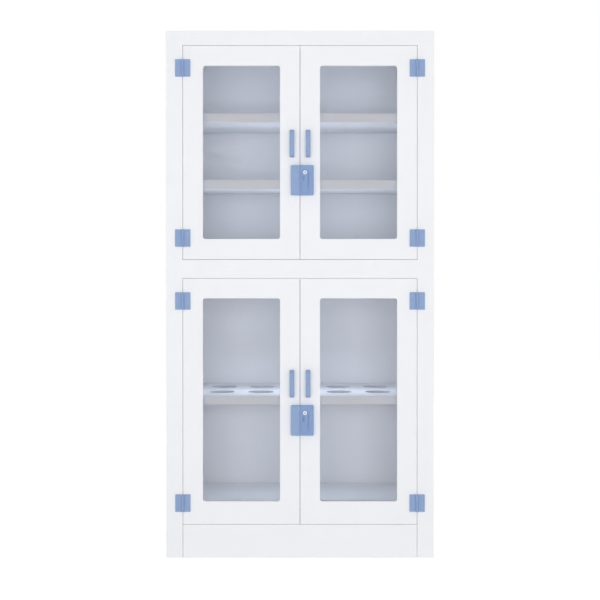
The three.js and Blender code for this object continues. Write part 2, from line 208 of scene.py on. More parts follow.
class CabinetColours(bpy.types.PropertyGroup):
    """Colours of the finishes"""
    white: colour("White sheet", "Colour of the polypropylene sheet", "F0F1F4")
    blue: colour("Blue moulding", "Colour of the hinges, handles and lock keepers", "8BA3CA")
    case_blue: colour("Blue case", "Colour of the lock cases, which are moulded a shade deeper", "829DC7")
    glass: colour("Glass", "What one face of a pane lets through", "F0F0F1")
    nickel: colour("Nickel", "Colour of the key plugs", "F4FAFF")
    # Dark enough to be painted shade, for the shade deep in a keyhole
    key_slot_painted_shade: colour("Key slot shade", "Colour inside the key slots", "566B88")
    zinc: colour("Zinc", "Colour of the lock bolts", "C9CDD2")
    # Greyer than the sheet: painted shade, for the shade that fills the drilled holes
    hole_wall_painted_shade: colour("Hole wall shade", "Colour of the drilled holes' walls", "C4C9D3")
    floor: colour("Floor", "Colour of the studio floor", "FAFAFA")


class StudioSettings(bpy.types.PropertyGroup):
    """Camera and light"""
    distance: length("Camera distance", "From the camera to the cabinet's front", 4248)
    eye_height: length("Eye height", "Height of the camera over the floor", 1047.3)
    tilt: FloatProperty(name="Tilt", description="How far the camera looks down", default=math.radians(0.32),
                        subtype="ANGLE", unit="ROTATION")
    lens: FloatProperty(name="Lens", description="Focal length in millimetres", default=75.95, min=1,
                        unit="CAMERA")
    shift: FloatProperty(name="Shift", description="Upright shift of the lens, as a share of the frame",
                         default=-0.0777)
    ambient: FloatProperty(name="Ambient", description="Light from all round", default=0.516, min=0)
    key: watts("Key light", "Power of the large soft light in front", 172)
    key_front: length("Key light front", "How far it stands in front", 6500)
    key_height: length("Key light middle", "Height of its middle over the floor", 1100)
    key_aim: length("Key light aim", "Height that it is aimed at", 850)
    key_width: length("Key light width", "Width of that light", 4200)
    key_rise: length("Key light height", "Height of that light from edge to edge", 2150)
    side_light: watts("Side lights", "Power of each soft light at the sides", 25)
    back_light: watts("Back light", "Power of the soft light behind", 14)
    top_light: watts("Top light", "Power of the soft light overhead", 30)
    round_distance: length("Light distance", "How far those four stand from the cabinet's middle", 4500)
    round_size: length("Light size", "Length of those four lights' sides", 1300)
    round_back: length("Light set-back", "How far behind that middle the side and top lights stand", 1200)
    upper_fill: watts("Upper fill", "Power of the soft light in each upper bay", 0.66)
    middle_fill: watts("Middle fill", "Power of the one under the middle deck", 0.34)
    shelf_fill: watts("Shelf fill", "Power of the one over the drilled shelf", 0.6)
    deck_fill: watts("Deck fill", "Power of the one over the bottom deck", 0.45)
    shelf_fill_height: length("Shelf fill height", "Height of that light over the drilled shelf", 135)
    shelf_fill_back: length("Shelf fill set-back", "How far it stands behind the lights above it", 65)
    deck_fill_height: length("Deck fill height", "Height of that light over the bottom deck", 300)
    deck_fill_back: length("Deck fill set-back", "How far it stands behind the lights in the upper bays", 100)
    fill_width: length("Fill width", "Width of the lights in the bays", 710)
    fill_depth: length("Fill depth", "Depth of those lights", 80)
    fill_colour: colour("Fill colour", "Colour of those lights", "E4F0FF")
    glow: FloatProperty(name="Floor glow", description="What lifts the floor to a plain white", default=0.51,
                        min=0)


def node(tree, kind, inputs=None, stops=(), **settings):
    """Adds a node with its settings and a ramp's stops, and gives each input a value or the output that feeds
    it."""
    made = tree.nodes.new(kind)
    for key, value in settings.items():
        setattr(made, key, value)
    for number, (position, tint) in enumerate(stops):
        made.color_ramp.elements[number].position = position
        made.color_ramp.elements[number].color = tint
    for key, value in (inputs or {}).items():
        if isinstance(value, bpy.types.NodeSocket):
            tree.links.new(value, made.inputs[key])
        else:
            made.inputs[key].default_value = value
    return made


def blank_material(name):
    """A material with no nodes but its output."""
    material = bpy.data.materials.new(name)
    material.use_nodes = True
    tree = material.node_tree
    tree.nodes.clear()
    return material, tree, tree.nodes.new("ShaderNodeOutputMaterial")


def material_of(name, surface, *details):
    """The material of a name, made the first time by a function that gives its surface."""
    if name not in bpy.data.materials:
        _, tree, output = blank_material(name)
        place = node(tree, "ShaderNodeTexCoord").outputs["Object"]
        tree.links.new(surface(tree, place, *details), output.inputs["Surface"])
    return bpy.data.materials[name]


def shade(base, share):
    """A colour made darker or lighter, with full alpha."""
    return (*(min(1.0, channel * share) for channel in base), 1.0)


def white_polypropylene(tree, place):
    """Extruded polypropylene sheet: a dense, faintly bluish white with a soft satin gloss. The rollers leave
    slow waves and a fine pebble in it, and the pigment a very faint cloud."""
    base = bpy.context.scene.cabinet_colours.white
    # Pigment clouds 160 mm across, within about one part in a hundred
    cloud = node(tree, "ShaderNodeTexNoise", {"Vector": place, "Scale": 1 / (160 * MM), "Detail": 3.0})
    tone = node(tree, "ShaderNodeValToRGB", {"Fac": cloud.outputs["Fac"]},
                stops=((NOISE_LOW, shade(base, 0.992)), (NOISE_HIGH, shade(base, 1.004))))
    # Roller waves 90 mm apart and a pebble of 0.6 mm, drawn at 2.5 mm so that it shows
    wave = node(tree, "ShaderNodeTexNoise", {"Vector": place, "Scale": 1 / (90 * MM), "Detail": 1.0})
    pebble = node(tree, "ShaderNodeTexNoise", {"Vector": place, "Scale": 1 / (2.5 * MM), "Detail": 2.0})
    gloss = node(tree, "ShaderNodeMapRange",
                 {"Value": wave.outputs["Fac"], "From Min": NOISE_LOW, "From Max": NOISE_HIGH,
                  "To Min": 0.4, "To Max": 0.5})
    slow = node(tree, "ShaderNodeBump",
                {"Height": wave.outputs["Fac"], "Strength": 0.15, "Distance": 0.4 * MM})
    fine = node(tree, "ShaderNodeBump",
                {"Height": pebble.outputs["Fac"], "Strength": 0.12, "Distance": 0.06 * MM,
                 "Normal": slow.outputs["Normal"]})
    shader = node(tree, "ShaderNodeBsdfPrincipled",
                  {"Base Color": tone.outputs["Color"], "Roughness": gloss.outputs["Result"],
                   "IOR": PLASTIC_IOR, "Normal": fine.outputs["Normal"]})
    return shader.outputs["BSDF"]


def drilled_wall_painted_shade(tree, place):
    """Polypropylene sheet, drilled: the cutter leaves a duller wall than the rollers do, with fine
    rings all round it. They are 0.4 mm apart, drawn at 1.6 mm so that they show. The wall's grey is
    painted shade, for the shade that fills the holes."""
    # This grey base is painted shade for the holes; the rings and the dullness are the cutter's
    base = bpy.context.scene.cabinet_colours.hole_wall_painted_shade
    rings = node(tree, "ShaderNodeTexWave",
                 {"Vector": place, "Scale": WAVE_LENGTH / (1.6 * MM), "Distortion": 0.4}, bands_direction="Z")
    tone = node(tree, "ShaderNodeValToRGB", {"Fac": rings.outputs["Fac"]},
                stops=((0, shade(base, 0.96)), (1, shade(base, 1.04))))
    bump = node(tree, "ShaderNodeBump",
                {"Height": rings.outputs["Fac"], "Strength": 0.2, "Distance": 0.1 * MM})
    shader = node(tree, "ShaderNodeBsdfPrincipled",
                  {"Base Color": tone.outputs["Color"], "Roughness": 0.6, "IOR": PLASTIC_IOR,
                   "Normal": bump.outputs["Normal"]})
    return shader.outputs["BSDF"]


def blue_polypropylene(tree, place, base):
    """Injection moulded polypropylene: an even powder blue with a satin gloss, a spark-eroded grain from the
    mould and faint flow clouds in the pigment."""
    # Flow clouds 14 mm across
    cloud = node(tree, "ShaderNodeTexNoise", {"Vector": place, "Scale": 1 / (14 * MM), "Detail": 3.0})
    tone = node(tree, "ShaderNodeValToRGB", {"Fac": cloud.outputs["Fac"]},
                stops=((NOISE_LOW, shade(base, 0.96)), (NOISE_HIGH, shade(base, 1.04))))
    # Mould grain of 0.3 mm, drawn at 0.8 mm so that it shows
    grain = node(tree, "ShaderNodeTexNoise", {"Vector": place, "Scale": 1 / (0.8 * MM), "Detail": 2.0})
    gloss = node(tree, "ShaderNodeMapRange",
                 {"Value": grain.outputs["Fac"], "From Min": NOISE_LOW, "From Max": NOISE_HIGH,
                  "To Min": 0.36, "To Max": 0.48})
    bump = node(tree, "ShaderNodeBump",
                {"Height": grain.outputs["Fac"], "Strength": 0.25, "Distance": 0.05 * MM})
    shader = node(tree, "ShaderNodeBsdfPrincipled",
                  {"Base Color": tone.outputs["Color"], "Roughness": gloss.outputs["Result"],
                   "IOR": PLASTIC_IOR, "Normal": bump.outputs["Normal"]})
    return shader.outputs["BSDF"]


def float_glass(tree, place):
    """Clear float glass: it lets nearly all light through, cooled a little, and mirrors the room faintly, and
    more so at a slant. Slow ripples bend that mirror image."""
    # Ripples 70 mm apart
    ripple = node(tree, "ShaderNodeTexNoise", {"Vector": place, "Scale": 1 / (70 * MM), "Detail": 1.0})
    bump = node(tree, "ShaderNodeBump",
                {"Height": ripple.outputs["Fac"], "Strength": 0.2, "Distance": 0.2 * MM})
    through = node(tree, "ShaderNodeBsdfTransparent",
                   {"Color": shade(bpy.context.scene.cabinet_colours.glass, 1)})
    mirror = node(tree, "ShaderNodeBsdfAnisotropic",
                  {"Color": PLAIN_WHITE, "Roughness": 0.02, "Normal": bump.outputs["Normal"]})
    fresnel = node(tree, "ShaderNodeFresnel", {"IOR": GLASS_IOR})
    # Only the face towards the eye mirrors
    behind = node(tree, "ShaderNodeNewGeometry").outputs["Backfacing"]
    outside = node(tree, "ShaderNodeMath", {0: 1.0, 1: behind}, operation="SUBTRACT")
    share = node(tree, "ShaderNodeMath", {0: fresnel.outputs["Fac"], 1: outside.outputs["Value"]},
                 operation="MULTIPLY")
    mixed = node(tree, "ShaderNodeMixShader",
                 {"Fac": share.outputs["Value"], 1: through.outputs["BSDF"], 2: mirror.outputs["BSDF"]})
    return mixed.outputs["Shader"]


def bright_metal(tree, place, base, rough, grain_mm):
    """Plated metal: a bright mirror that fine tool marks blur into short streaks."""
    # Tool marks far longer across the part than they are wide
    turned = node(tree, "ShaderNodeMapping", {"Vector": place, "Scale": (0.08, 0.08, 1.0)})
    marks = node(tree, "ShaderNodeTexNoise",
                 {"Vector": turned.outputs["Vector"], "Scale": 1 / (grain_mm * MM), "Detail": 2.0})
    tone = node(tree, "ShaderNodeValToRGB", {"Fac": marks.outputs["Fac"]},
                stops=((0, shade(base, 0.94)), (1, shade(base, 1.0))))
    gloss = node(tree, "ShaderNodeMapRange",
                 {"Value": marks.outputs["Fac"], "From Min": NOISE_LOW, "From Max": NOISE_HIGH,
                  "To Min": rough * 0.8, "To Max": rough * 1.2})
    bump = node(tree, "ShaderNodeBump",
                {"Height": marks.outputs["Fac"], "Strength": 0.1, "Distance": 0.03 * MM})
    shader = node(tree, "ShaderNodeBsdfPrincipled",
                  {"Base Color": tone.outputs["Color"], "Metallic": 1.0, "Roughness": gloss.outputs["Result"],
                   "Normal": bump.outputs["Normal"]})
    return shader.outputs["BSDF"]


def nickel_plate():
    """Nickel plated brass, turned: a bright disc that shows the white room. Its marks are 0.5 mm apart."""
    base = bpy.context.scene.cabinet_colours.nickel
    return material_of("brass_nickel_plated_turned", bright_metal, base, 0.24, 0.5)


def zinc_plate():
    """Zinc plated steel, drawn: a duller grey than the nickel. Drawing marks are 0.8 mm apart."""
    base = bpy.context.scene.cabinet_colours.zinc
    return material_of("steel_zinc_plated_drawn", bright_metal, base, 0.38, 0.8)


def key_slot_painted_shade():
    """Stamped steel in a dark blue-grey, painted shade for the shade deep in a key slot. Stamping marks are
    0.4 mm apart.
    """
    base = bpy.context.scene.cabinet_colours.key_slot_painted_shade
    return material_of("steel_key_slot_painted_shade", bright_metal, base, 0.5, 0.4)


def finish_piece(name, bm, material, body, slot, *nodes):
    """Turns a bmesh into an object that rides on a body and stands for CAD nodes."""
    bmesh.ops.remove_doubles(bm, verts=bm.verts[:], dist=MERGE_WITHIN)
    bmesh.ops.recalc_face_normals(bm, faces=bm.faces[:])
    mesh = bpy.data.meshes.new(name)
    bm.to_mesh(mesh)
    bm.free()
    mesh.materials.append(material)
    mesh.shade_smooth()
    mesh.set_sharp_from_angle(angle=math.radians(SHADED))
    piece = bpy.data.objects.new(name, mesh)
    bpy.context.scene.collection.objects.link(piece)
    flats = piece.modifiers.new("Flat faces stay flat", "WEIGHTED_NORMAL")
    flats.keep_sharp = True
    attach(piece, body)
    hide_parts(*nodes)
    return piece


def white_piece(name, bm, body, *nodes):
    """A piece of the white sheet."""
    material = material_of("polypropylene_sheet_extruded_white", white_polypropylene)
    return finish_piece(name, bm, material, body, "white_plastic", *nodes)


def blue_piece(name, bm, body, *nodes):
    """A blue moulding."""
    base = bpy.context.scene.cabinet_colours.blue
    material = material_of("polypropylene_moulded_blue", blue_polypropylene, base)
    return finish_piece(name, bm, material, body, "blue_plastic", *nodes)


def round_edges(bm, edges, radius, segments=3):
    """Rounds edges over."""
    bmesh.ops.bevel(bm, geom=edges, offset=radius, offset_type="OFFSET", affect="EDGES",
                    segments=segments, profile=0.5, material=-1, clamp_overlap=True)


def sharp_edges(bm, least=SHARP):
    """The edges whose faces meet at more than so many degrees."""
    return [e for e in bm.edges if e.is_manifold and e.calc_face_angle() > math.radians(least)]


def add_block(bm, one, other):
    """A block between two opposite corners."""
    low = Vector([min(pair) for pair in zip(one, other)])
    high = Vector([max(pair) for pair in zip(one, other)])
    place = Matrix.Translation((low + high) / 2) @ Matrix.Diagonal((*(high - low), 1))
    bmesh.ops.create_cube(bm, size=1, matrix=place)


def rounded_block(one, other, radius, segments=3):
    """A block between two opposite corners, with all its edges rounded over."""
    bm = bmesh.new()
    add_block(bm, one, other)
    round_edges(bm, sharp_edges(bm), radius, segments)
    return bm


def with_rims(faces):
    """Faces with their edges and corners, which an extrusion needs to drop the faces it leaves behind."""
    return [*faces, *{e for f in faces for e in f.edges}, *{v for f in faces for v in f.verts}]


def push(bm, faces, offset):
    """Extrudes faces along an offset and gives the moved ones."""
    made = bmesh.ops.extrude_face_region(bm, geom=with_rims(faces))["geom"]
    moved = [g for g in made if isinstance(g, bmesh.types.BMVert)]
    bmesh.ops.translate(bm, verts=moved, vec=offset)
    return [g for g in made if isinstance(g, bmesh.types.BMFace)]


def push_loop(bm, edges, offset):
    """Extrudes a loop of edges along an offset and gives the moved loop."""
    made = bmesh.ops.extrude_edge_only(bm, edges=edges)["geom"]
    moved = [g for g in made if isinstance(g, bmesh.types.BMVert)]
    bmesh.ops.translate(bm, verts=moved, vec=offset)
    reached = set(moved)
    return [g for g in made if isinstance(g, bmesh.types.BMEdge) and set(g.verts) <= reached]


def cut(bm, point, normal):
    """Cuts every face along a plane."""
    bmesh.ops.bisect_plane(bm, geom=bm.verts[:] + bm.edges[:] + bm.faces[:], dist=CUT_WITHIN,
                           plane_co=point, plane_no=normal)


def front_face(bm, x0, z0, x1, z1, y, radii=(0, 0, 0, 0), segments=6):
    """A face towards -Y with its own radius at each corner: low left, low right, high left, high right."""
    place = Matrix.Translation(((x0 + x1) / 2, y, (z0 + z1) / 2))
    place = place @ Matrix.Rotation(math.pi / 2, 4, "X") @ Matrix.Diagonal((x1 - x0, z1 - z0, 1, 1))
    before = set(bm.faces)
    corners = bmesh.ops.create_grid(bm, x_segments=1, y_segments=1, size=0.5, matrix=place)["verts"]
    for corner, radius in zip(corners, radii):
        if radius:
            bmesh.ops.bevel(bm, geom=[corner], offset=radius, affect="VERTICES", segments=segments,
                            profile=0.5, material=-1)
    return next(f for f in bm.faces if f not in before)


def outline(bm, face):
    """Drops a face and gives its outline, as a loop of edges."""
    edges = list(face.edges)
    bmesh.ops.delete(bm, geom=[face], context="FACES_ONLY")
    return edges


def front_loop(bm, *where, **shape):
    """The outline of a face towards -Y, as a loop of edges."""
    return outline(bm, front_face(bm, *where, **shape))


def even_loop(bm, box, y, radius, grow=0.0):
    """The outline of a box's front, grown by an amount, with one radius."""
    low, high = box
    return front_loop(bm, low.x - grow, low.z - grow, high.x + grow, high.z + grow, y, radii=(radius,) * 4)


def front_circle(bm, centre, radius):
    """A round outline towards -Y, as a loop of edges."""
    before = set(bm.edges)
    place = Matrix.Translation(centre) @ Matrix.Rotation(math.pi / 2, 4, "X")
    bmesh.ops.create_circle(bm, cap_ends=False, segments=PLUG_SIDES, radius=radius, matrix=place)
    return [e for e in bm.edges if e not in before]


def fill(bm, *loops):
    """Fills the flat area between loops of edges."""
    edges = [e for loop in loops for e in loop]
    bmesh.ops.triangle_fill(bm, use_beauty=True, edges=edges)


def cap(bm, edges):
    """Closes a loop with one face."""
    bmesh.ops.contextual_create(bm, geom=edges)


def door_box(door):
    """Lowest and highest corner of a door, eased out so that its gaps show as narrow as they do."""
    sizes = bpy.context.scene.cabinet_sizes
    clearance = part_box("upper_right_door_panel")[0].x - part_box("upper_left_door_panel")[1].x
    ease = (clearance - sizes.door_gap) / 2
    meeting = (clearance - sizes.meeting_gap) / 2
    left, right = (ease, meeting) if door.endswith("left") else (meeting, ease)
    low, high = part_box(f"{door}_door_panel")
    return low - Vector((left, 0, ease)), high + Vector((right, 0, ease))


def door_opening(level):
    """Lowest and highest corner of the opening that a pair of doors closes."""
    gap = bpy.context.scene.cabinet_sizes.door_gap
    reach = Vector((gap, 0, gap))
    return door_box(f"{level}_left")[0] - reach, door_box(f"{level}_right")[1] + reach


class CABINET_OT_front_frame(bpy.types.Operator):
    """Build the front frame, one sheet with two openings"""
    bl_idname = "cabinet.front_frame"
    bl_label = "Front Frame"

    def execute(self, context):
        sizes = context.scene.cabinet_sizes
        low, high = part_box("face_frame")
        bm = bmesh.new()
        front_face(bm, low.x, low.z, high.x, high.z, low.y)
        upper, lower = door_opening("upper"), door_opening("lower")
        for x in (upper[0].x, upper[1].x):
            cut(bm, (x, 0, 0), (1, 0, 0))
        for z in (lower[1].z, upper[0].z, upper[1].z):
            cut(bm, (0, 0, z), (0, 0, 1))
        openings = []
        for face in bm.faces:
            middle = face.calc_center_median()
            across = upper[0].x < middle.x < upper[1].x
            if across and (middle.z < lower[1].z or upper[0].z < middle.z < upper[1].z):
                openings.append(face)
        bmesh.ops.delete(bm, geom=openings, context="FACES")
        push(bm, bm.faces[:], (0, high.y - low.y, 0))
        round_edges(bm, sharp_edges(bm), sizes.sheet_edge)
        white_piece("front_frame", bm, "cabinet", "face_frame")
        return {"FINISHED"}


class CABINET_OT_kick_panel(bpy.types.Operator):
    """Build the kick panel between the stiles, with the riser behind it"""
    bl_idname = "cabinet.kick_panel"
    bl_label = "Kick Panel"

    def execute(self, context):
        sizes = context.scene.cabinet_sizes
        low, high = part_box("plinth_panel")
        opening_low, opening_high = door_opening("lower")
        top = opening_low.z
        riser = high.y - sizes.sheet
        bm = bmesh.new()
        add_block(bm, (opening_low.x + sizes.kick_seam, low.y, low.z),
                  (opening_high.x - sizes.kick_seam, high.y, top))
        cut(bm, (0, riser, 0), (0, 1, 0))
        behind = [f for f in bm.faces if f.normal.z > POINTS_UP and f.calc_center_median().y > riser]
        push(bm, behind, (0, 0, high.z - top))
        seams = [e for e in sharp_edges(bm) if all(v.co.y < low.y + FRONT_WITHIN for v in e.verts)]
        round_edges(bm, seams, sizes.kick_edge)
        white_piece("kick_panel", bm, "cabinet", "plinth_panel")
        return {"FINISHED"}


class CABINET_OT_shell(bpy.types.Operator):
    """Build the sides with their shelf ledgers, the back and the top"""
    bl_idname = "cabinet.shell"
    bl_label = "Sides, Back and Top"

    def execute(self, context):
        sizes = context.scene.cabinet_sizes
        undersides = {f"{level}_tray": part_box(f"{level}_tray")[0].z for level in LEVELS}
        undersides["perforated_shelf"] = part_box("perforated_shelf")[1].z - sizes.sheet
        for side, sign in SIDES.items():
            low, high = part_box(f"{side}_side")
            wall = sign * (cad_high.x - sizes.sheet)
            outer = sign * cad_high.x
            bm = rounded_block((wall, low.y, low.z), (outer, high.y, high.z), sizes.sheet_edge)
            white_piece(f"{side}_side_sheet", bm, "cabinet", f"{side}_side")
            inner = low.x if sign > 0 else high.x
            bm = bmesh.new()
            for shelf, under in undersides.items():
                shelf_low, shelf_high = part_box(shelf)
                add_block(bm, (inner, shelf_low.y + sizes.ledger_back, under - sizes.sheet),
                          (wall, shelf_high.y, under))
            round_edges(bm, sharp_edges(bm), sizes.sheet_edge)
            white_piece(f"{side}_shelf_ledgers", bm, "cabinet", f"{side}_side")
        for place in ("back", "top"):
            bm = rounded_block(*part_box(f"{place}_panel"), sizes.sheet_edge)
            white_piece(f"{place}_sheet", bm, "cabinet", f"{place}_panel")
        return {"FINISHED"}


class CABINET_OT_decks(bpy.types.Operator):
    """Build the bottom and middle decks"""
    bl_idname = "cabinet.decks"
    bl_label = "Decks"

    def execute(self, context):
        sizes = context.scene.cabinet_sizes
        for place in ("middle", "bottom"):
            bm = rounded_block(*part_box(f"{place}_deck"), sizes.sheet_edge)
            white_piece(f"{place}_deck_sheet", bm, "cabinet", f"{place}_deck")
        return {"FINISHED"}


class CABINET_OT_trays(bpy.types.Operator):
    """Build the two tray shelves, each with its front bent up"""
    bl_idname = "cabinet.trays"
    bl_label = "Tray Shelves"

    def execute(self, context):
        sizes = context.scene.cabinet_sizes
        for place in LEVELS:
            low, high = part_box(f"{place}_tray")
            bm = bmesh.new()
            add_block(bm, low, (high.x, high.y, low.z + sizes.sheet))
            lip = low.y + sizes.sheet
            cut(bm, (0, lip, 0), (0, 1, 0))
            strip = [f for f in bm.faces if f.normal.z > POINTS_UP and f.calc_center_median().y < lip]
            push(bm, strip, (0, 0, high.z - low.z - sizes.sheet))
            bmesh.ops.recalc_face_normals(bm, faces=bm.faces[:])
            bend = [e for e in sharp_edges(bm)
                    if all(abs(v.co.y - low.y) + abs(v.co.z - low.z) < FRONT_WITHIN for v in e.verts)]
            round_edges(bm, bend, sizes.tray_bend, 5)
            round_edges(bm, [e for e in sharp_edges(bm, SQUARE) if e.is_convex], sizes.sheet_edge)
            white_piece(f"{place}_shelf_tray", bm, "cabinet", f"{place}_tray")
        return {"FINISHED"}


class CABINET_OT_drilled_shelf(bpy.types.Operator):
    """Build the shelf with two rows of round holes for bottles"""
    bl_idname = "cabinet.drilled_shelf"
    bl_label = "Drilled Shelf"

    def execute(self, context):
        sizes = context.scene.cabinet_sizes
        low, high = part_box("perforated_shelf")
        bm = bmesh.new()
        place = Matrix.Translation(((low.x + high.x) / 2, (low.y + high.y) / 2, high.z))
        place = place @ Matrix.Diagonal((high.x - low.x, high.y - low.y, 1, 1))
        bmesh.ops.create_grid(bm, x_segments=1, y_segments=1, size=0.5, matrix=place)
        bmesh.ops.delete(bm, geom=bm.faces[:], context="FACES_ONLY")
        for row in range(sizes.hole_rows):
            for column in range(sizes.hole_columns):
                x = (column - (sizes.hole_columns - 1) / 2) * sizes.hole_pitch
                y = low.y + sizes.hole_front + row * sizes.hole_row_spacing
                bmesh.ops.create_circle(bm, cap_ends=False, segments=HOLE_SIDES, radius=sizes.hole / 2,
                                        matrix=Matrix.Translation((x, y, high.z)))
        fill(bm, bm.edges[:])
        apron = low.y + sizes.sheet
        cut(bm, (0, apron, 0), (0, 1, 0))
        under = push(bm, bm.faces[:], (0, 0, -sizes.sheet))
        strip = [f for f in under if f.calc_center_median().y < apron]
        push(bm, strip, (0, 0, low.z - high.z + sizes.sheet))
        bmesh.ops.recalc_face_normals(bm, faces=bm.faces[:])
        round_edges(bm, [e for e in sharp_edges(bm, SQUARE) if e.is_convex], sizes.sheet_edge)
        # The holes' walls take the grey drilled-wall material, which is painted shade for the shade in the
        # holes
        for face in bm.faces:
            middle = face.calc_center_median()
            across = abs(middle.x) < high.x - sizes.sheet
            along = low.y + 2 * sizes.sheet < middle.y < high.y - sizes.sheet
            if across and along and abs(face.normal.z) < STEEP:
                face.material_index = 1
        shelf = white_piece("drilled_shelf", bm, "cabinet", "perforated_shelf")
        shelf.data.materials.append(material_of("polypropylene_drilled_wall_painted_shade", drilled_wall_painted_shade))
        return {"FINISHED"}


class CABINET_OT_doors(bpy.types.Operator):
    """Build the four door leaves, each with a window and a rebate for the pane behind it"""
    bl_idname = "cabinet.doors"
    bl_label = "Doors"

    def execute(self, context):
        sizes = context.scene.cabinet_sizes
        for door in DOORS:
            low, high = door_box(door)
            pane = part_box(f"{door}_glass_pane")
            seat = pane[0].y
            window = -sizes.pane_overlap
            rebate = sizes.rebate - sizes.pane_overlap
            corner = 2 * sizes.door_edge
            bm = bmesh.new()
            outer_front = even_loop(bm, (low, high), low.y, corner)
            window_front = even_loop(bm, pane, low.y, sizes.window_radius, window)
            fill(bm, outer_front, window_front)
            window_back = push_loop(bm, window_front, (0, seat - low.y, 0))
            rebate_front = even_loop(bm, pane, seat, sizes.window_radius, rebate)
            fill(bm, window_back, rebate_front)
            rebate_back = push_loop(bm, rebate_front, (0, high.y - seat, 0))
            outer_back = push_loop(bm, outer_front, (0, high.y - low.y, 0))
            fill(bm, rebate_back, outer_back)
            round_edges(bm, outer_front + outer_back, sizes.door_edge)
            round_edges(bm, window_front, sizes.window_edge)
            white_piece(f"{door}_door_frame", bm, f"{door}_door", f"{door}_door_panel")
        return {"FINISHED"}


class CABINET_OT_meeting_beads(bpy.types.Operator):
    """Build the flat beads behind the doors' meeting edges, which close the gap between each pair"""
    bl_idname = "cabinet.meeting_beads"
    bl_label = "Meeting Beads"

    def execute(self, context):
        sizes = context.scene.cabinet_sizes
        for level, deck in zip(LEVELS, ("middle_deck", "bottom_deck")):
            for side, sign in SIDES.items():
                door = f"{level}_{side}"
                high = door_box(door)[1]
                near = sign * sizes.bead_gap / 2
                far = near + sign * sizes.bead_width
                bm = bmesh.new()
                add_block(bm, (near, high.y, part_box(deck)[1].z + sizes.bead_end),
                          (far, high.y + sizes.bead, high.z - sizes.bead_end))
                behind = [e for e in sharp_edges(bm) if any(v.co.y > high.y for v in e.verts)]
                round_edges(bm, behind, sizes.sheet_edge)
                white_piece(f"{door}_meeting_bead", bm, f"{door}_door", f"{door}_door_panel")
        return {"FINISHED"}


class CABINET_OT_glazing(bpy.types.Operator):
    """Build the panes and the frames that hold them from behind"""
    bl_idname = "cabinet.glazing"
    bl_label = "Glazing"

    def execute(self, context):
        sizes = context.scene.cabinet_sizes
        for door in DOORS:
            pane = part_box(f"{door}_glass_pane")
            bm = bmesh.new()
            front = even_loop(bm, pane, pane[0].y, sizes.window_radius)
            back = push_loop(bm, front, (0, pane[1].y - pane[0].y, 0))
            cap(bm, front)
            cap(bm, back)
            round_edges(bm, front + back, sizes.pane_edge, 2)
            finish_piece(f"{door}_pane", bm, material_of("glass_float_clear", float_glass), f"{door}_door",
                         "clear_glass", f"{door}_glass_pane")
            low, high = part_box(f"{door}_glazing_frame")
            bm = bmesh.new()
            fronts = [even_loop(bm, (low, high), low.y, sizes.window_radius),
                      even_loop(bm, pane, low.y, sizes.window_radius, -sizes.pane_overlap)]
            fill(bm, *fronts)
            backs = [push_loop(bm, loop, (0, high.y - low.y, 0)) for loop in fronts]
            fill(bm, *backs)
            round_edges(bm, backs[0] + backs[1], sizes.sheet_edge)
            white_piece(f"{door}_glazing_ring", bm, f"{door}_door", f"{door}_glazing_frame")
        return {"FINISHED"}


def hinge_section(bm, half_width, radius, bore, lift, sizes):
    """The section of a leaf through a knuckle, with the pin's axis at the origin and the leaf along +X. Gives
    the plate's face and the knuckle's faces."""
    start = radius + sizes.barrel_gap
    plate_front, plate_back = lift - sizes.leaf, lift
    web_back = lift - sizes.web_lift
    angle = math.asin(plate_front / radius)
    turn = -(angle + math.radians(270))
    first = bm.verts.new((radius * math.cos(angle), plate_front, 0))
    arc = bmesh.ops.spin(bm, geom=[first], cent=(0, 0, 0), axis=(0, 0, 1), dvec=(0, 0, 0), angle=turn,
                         steps=BARREL_STEPS)
    last = next(g for g in arc["geom_last"] if isinstance(g, bmesh.types.BMVert))
    near = bm.verts.new((start, plate_front, 0))
    web = bm.verts.new((start, web_back, 0))
    corners = [bm.verts.new(place) for place in
               ((half_width, plate_front, 0), (half_width, plate_back, 0), (start, plate_back, 0))]
    for one, other in ((near, first), (last, web), (web, near)):
        bm.edges.new((one, other))
    bmesh.ops.create_circle(bm, cap_ends=False, segments=BORE_SIDES, radius=bore)
    fill(bm, bm.edges[:])
    knuckle = bm.faces[:]
    plate = bm.faces.new([near, *corners, web])
    return plate, knuckle


